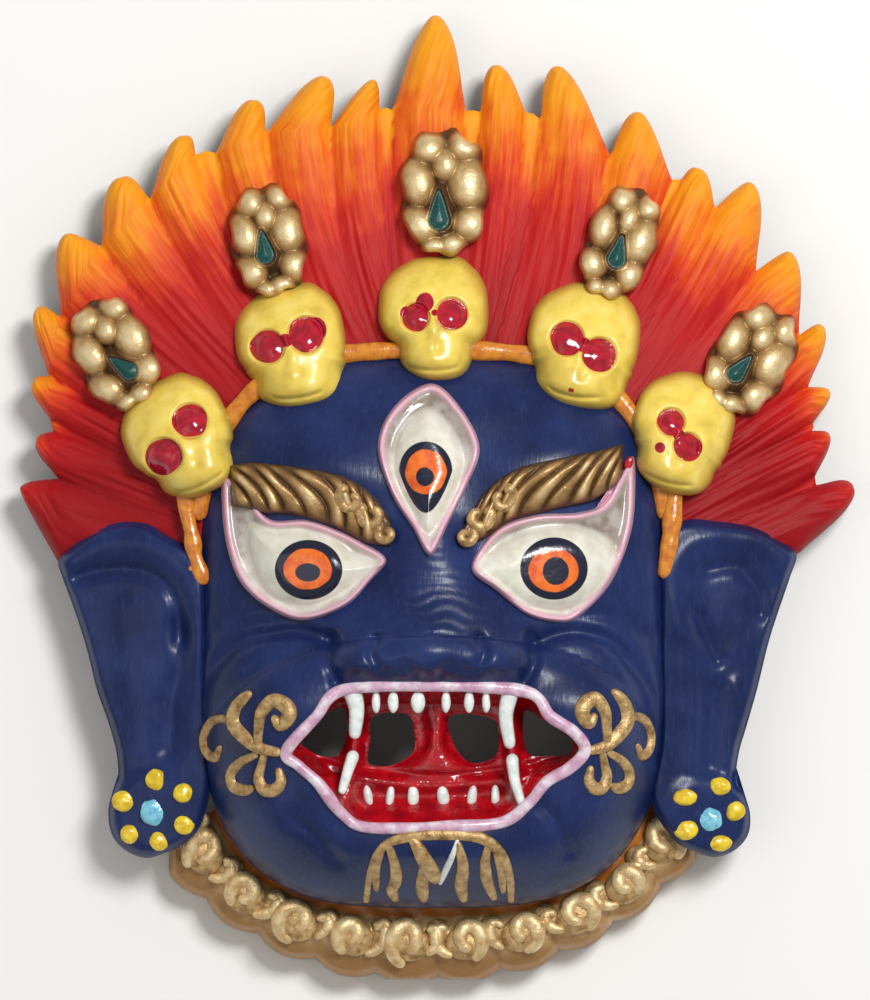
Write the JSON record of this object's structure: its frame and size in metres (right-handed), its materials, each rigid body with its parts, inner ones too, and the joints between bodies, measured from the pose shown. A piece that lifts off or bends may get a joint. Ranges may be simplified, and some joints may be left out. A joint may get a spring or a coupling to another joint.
{
  "type": "mahakala mask",
  "caption": "Wall mask of a wrathful deity: domed face with open mouth, long ears, a fan of flames, a crown of skulls and a curled collar.",
  "frame": {"origin": "middle of the bounding box on the plane of the back rim, on which the mask lies", "axes": "+Z out of the face, +Y towards the tip of the middle flame, +X to the right of someone who looks at the face"},
  "size_m": [0.259, 0.3, 0.072],
  "materials": {
    "painted_moulding": "hand-painted gloss enamel over moulded papier-mache, mostly deep blue, with red, orange, yellow, gold and white parts"
  },
  "bodies": {
    "root": {"mask": "painted_moulding"}
  },
  "joints": []
}
